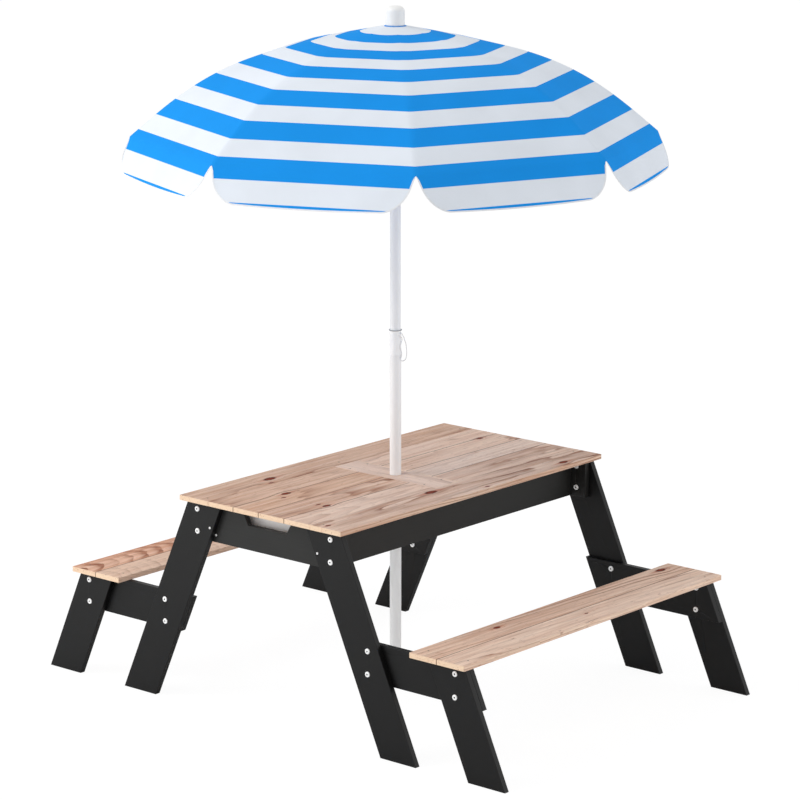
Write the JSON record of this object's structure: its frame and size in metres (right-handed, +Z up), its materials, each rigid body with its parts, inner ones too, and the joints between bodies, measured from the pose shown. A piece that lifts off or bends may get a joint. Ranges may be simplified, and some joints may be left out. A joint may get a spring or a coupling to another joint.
{
  "type": "picnic table with sandbox",
  "caption": "Child's picnic table with side benches, lift-off lids over play bins and a striped folding parasol on a pole through the tabletop.",
  "frame": {"origin": "on the ground under the middle of the tabletop, on the pole's axis", "axes": "+Z up, X along the benches, Y across them from bench to bench"},
  "size_m": [1.2376, 1.4006, 1.5906],
  "materials": {
    "pine": "planed pine with a thin matt finish",
    "black_stain": "pine with an opaque black stain, matt",
    "white_plastic": "moulded white plastic",
    "white_enamel": "white powder coat",
    "grey_rubber": "matt grey",
    "blue_fabric": "woven polyester with blue and white stripes"
  },
  "bodies": {
    "frame": {"table_leg_front_left": "black_stain", "bench_leg_front_left": "black_stain", "lower_bar_front_left": "black_stain", "table_leg_front_right": "black_stain", "bench_leg_front_right": "black_stain", "lower_bar_front_right": "black_stain", "table_leg_back_left": "black_stain", "bench_leg_back_left": "black_stain", "lower_bar_back_left": "black_stain", "table_leg_back_right": "black_stain", "bench_leg_back_right": "black_stain", "lower_bar_back_right": "black_stain", "end_beam_left": "black_stain", "end_beam_right": "black_stain", "apron_front": "black_stain", "apron_back": "black_stain", "bin_ledge_front": "black_stain", "bin_ledge_back": "black_stain", "cross_bearer": "black_stain", "top_board_front": "pine", "top_board_back": "pine", "cross_board": "pine", "bench_front": "pine", "bench_back": "pine"},
    "bin_left": {"bin_left": "white_plastic"},
    "bin_right": {"bin_right": "white_plastic"},
    "lid_left": {"lid_left": "pine"},
    "lid_right": {"lid_right": "pine"},
    "pole_lower": {"pole_foot": "grey_rubber", "pole_lower": "white_enamel"},
    "collar": {"pole_collar": "white_enamel"},
    "parasol": {"pole_upper": "white_enamel", "crown": "white_plastic", "finial": "white_plastic"},
    "clip": {"locking_clip": "white_enamel"},
    "runner": {"runner": "white_plastic"},
    "rib_1": {"rib_1": "white_enamel", "canopy_1": "blue_fabric"},
    "stretcher_1": {"stretcher_1": "white_enamel"},
    "rib_2": {"rib_2": "white_enamel", "canopy_2": "blue_fabric"},
    "stretcher_2": {"stretcher_2": "white_enamel"},
    "rib_3": {"rib_3": "white_enamel", "canopy_3": "blue_fabric"},
    "stretcher_3": {"stretcher_3": "white_enamel"},
    "rib_4": {"rib_4": "white_enamel", "canopy_4": "blue_fabric"},
    "stretcher_4": {"stretcher_4": "white_enamel"},
    "rib_5": {"rib_5": "white_enamel", "canopy_5": "blue_fabric"},
    "stretcher_5": {"stretcher_5": "white_enamel"},
    "rib_6": {"rib_6": "white_enamel", "canopy_6": "blue_fabric"},
    "stretcher_6": {"stretcher_6": "white_enamel"},
    "rib_7": {"rib_7": "white_enamel", "canopy_7": "blue_fabric"},
    "stretcher_7": {"stretcher_7": "white_enamel"},
    "rib_8": {"rib_8": "white_enamel", "canopy_8": "blue_fabric"},
    "stretcher_8": {"stretcher_8": "white_enamel"}
  },
  "joints": [
    {"name": "bin_lift_left", "type": "slide", "parent": "frame", "child": "bin_left", "axis": [0, 0, 1], "range_m": [0, 0.13]},
    {"name": "lid_lift_left", "type": "slide", "parent": "bin_left", "child": "lid_left", "axis": [0, 0, 1], "range_m": [0, 0.12]},
    {"name": "bin_lift_right", "type": "slide", "parent": "frame", "child": "bin_right", "axis": [0, 0, 1], "range_m": [0, 0.13]},
    {"name": "lid_lift_right", "type": "slide", "parent": "bin_right", "child": "lid_right", "axis": [0, 0, 1], "range_m": [0, 0.12]},
    {"name": "pole_lift", "type": "slide", "parent": "frame", "child": "pole_lower", "axis": [0, 0, 1], "range_m": [0, 0.52]},
    {"name": "pole_height", "type": "slide", "parent": "pole_lower", "child": "collar", "axis": [0, 0, 1], "range_m": [0, 0.2]},
    {"name": "parasol_turn", "type": "hinge", "parent": "collar", "child": "parasol", "pos_m": [0, 0, 0.844], "axis": [0, 0, 1], "continuous": true},
    {"name": "clip_pull", "type": "slide", "parent": "pole_lower", "child": "clip", "axis": [0.7071, -0.7071, 0], "range_m": [0, 0.03]},
    {"name": "canopy_fold", "type": "hinge", "parent": "parasol", "child": "rib_1", "pos_m": [0.018, 0, 1.5385], "axis": [0, 1, 0], "range_deg": [0, 52], "deforming": ["canopy_1"]},
    {"name": "stretcher_fold_1", "type": "hinge", "parent": "rib_1", "child": "stretcher_1", "pos_m": [0.22918, 0, 1.49814], "axis": [0, 1, 0], "range_deg": [-104, 0]},
    {"name": "rib_fold_2", "type": "hinge", "parent": "parasol", "child": "rib_2", "pos_m": [0.01273, 0.01273, 1.5385], "axis": [-0.7071, 0.7071, 0], "range_deg": [0, 52], "deforming": ["canopy_2"]},
    {"name": "stretcher_fold_2", "type": "hinge", "parent": "rib_2", "child": "stretcher_2", "pos_m": [0.16205, 0.16205, 1.49814], "axis": [-0.7071, 0.7071, 0], "range_deg": [-104, 0]},
    {"name": "rib_fold_3", "type": "hinge", "parent": "parasol", "child": "rib_3", "pos_m": [0, 0.018, 1.5385], "axis": [-1, 0, 0], "range_deg": [0, 52], "deforming": ["canopy_3"]},
    {"name": "stretcher_fold_3", "type": "hinge", "parent": "rib_3", "child": "stretcher_3", "pos_m": [0, 0.22918, 1.49814], "axis": [-1, 0, 0], "range_deg": [-104, 0]},
    {"name": "rib_fold_4", "type": "hinge", "parent": "parasol", "child": "rib_4", "pos_m": [-0.01273, 0.01273, 1.5385], "axis": [-0.7071, -0.7071, 0], "range_deg": [0, 52], "deforming": ["canopy_4"]},
    {"name": "stretcher_fold_4", "type": "hinge", "parent": "rib_4", "child": "stretcher_4", "pos_m": [-0.16205, 0.16205, 1.49814], "axis": [-0.7071, -0.7071, 0], "range_deg": [-104, 0]},
    {"name": "rib_fold_5", "type": "hinge", "parent": "parasol", "child": "rib_5", "pos_m": [-0.018, 0, 1.5385], "axis": [0, -1, 0], "range_deg": [0, 52], "deforming": ["canopy_5"]},
    {"name": "stretcher_fold_5", "type": "hinge", "parent": "rib_5", "child": "stretcher_5", "pos_m": [-0.22918, 0, 1.49814], "axis": [0, -1, 0], "range_deg": [-104, 0]},
    {"name": "rib_fold_6", "type": "hinge", "parent": "parasol", "child": "rib_6", "pos_m": [-0.01273, -0.01273, 1.5385], "axis": [0.7071, -0.7071, 0], "range_deg": [0, 52], "deforming": ["canopy_6"]},
    {"name": "stretcher_fold_6", "type": "hinge", "parent": "rib_6", "child": "stretcher_6", "pos_m": [-0.16205, -0.16205, 1.49814], "axis": [0.7071, -0.7071, 0], "range_deg": [-104, 0]},
    {"name": "rib_fold_7", "type": "hinge", "parent": "parasol", "child": "rib_7", "pos_m": [0, -0.018, 1.5385], "axis": [1, 0, 0], "range_deg": [0, 52], "deforming": ["canopy_7"]},
    {"name": "stretcher_fold_7", "type": "hinge", "parent": "rib_7", "child": "stretcher_7", "pos_m": [0, -0.22918, 1.49814], "axis": [1, 0, 0], "range_deg": [-104, 0]},
    {"name": "rib_fold_8", "type": "hinge", "parent": "parasol", "child": "rib_8", "pos_m": [0.01273, -0.01273, 1.5385], "axis": [0.7071, 0.7071, 0], "range_deg": [0, 52], "deforming": ["canopy_8"]},
    {"name": "stretcher_fold_8", "type": "hinge", "parent": "rib_8", "child": "stretcher_8", "pos_m": [0.16205, -0.16205, 1.49814], "axis": [0.7071, 0.7071, 0], "range_deg": [-104, 0]},
    {"name": "runner_slide", "type": "slide", "parent": "parasol", "child": "runner", "axis": [0, 0, 1], "range_m": [-0.30181, 0]}
  ],
  "couplings": [
    {"joint": "stretcher_fold_1", "follows": "canopy_fold", "ratio": -2},
    {"joint": "rib_fold_2", "follows": "canopy_fold", "ratio": 1},
    {"joint": "stretcher_fold_2", "follows": "canopy_fold", "ratio": -2},
    {"joint": "rib_fold_3", "follows": "canopy_fold", "ratio": 1},
    {"joint": "stretcher_fold_3", "follows": "canopy_fold", "ratio": -2},
    {"joint": "rib_fold_4", "follows": "canopy_fold", "ratio": 1},
    {"joint": "stretcher_fold_4", "follows": "canopy_fold", "ratio": -2},
    {"joint": "rib_fold_5", "follows": "canopy_fold", "ratio": 1},
    {"joint": "stretcher_fold_5", "follows": "canopy_fold", "ratio": -2},
    {"joint": "rib_fold_6", "follows": "canopy_fold", "ratio": 1},
    {"joint": "stretcher_fold_6", "follows": "canopy_fold", "ratio": -2},
    {"joint": "rib_fold_7", "follows": "canopy_fold", "ratio": 1},
    {"joint": "stretcher_fold_7", "follows": "canopy_fold", "ratio": -2},
    {"joint": "rib_fold_8", "follows": "canopy_fold", "ratio": 1},
    {"joint": "stretcher_fold_8", "follows": "canopy_fold", "ratio": -2},
    {"joint": "runner_slide", "follows": "canopy_fold", "m_per_rad": -0.33254}
  ]
}
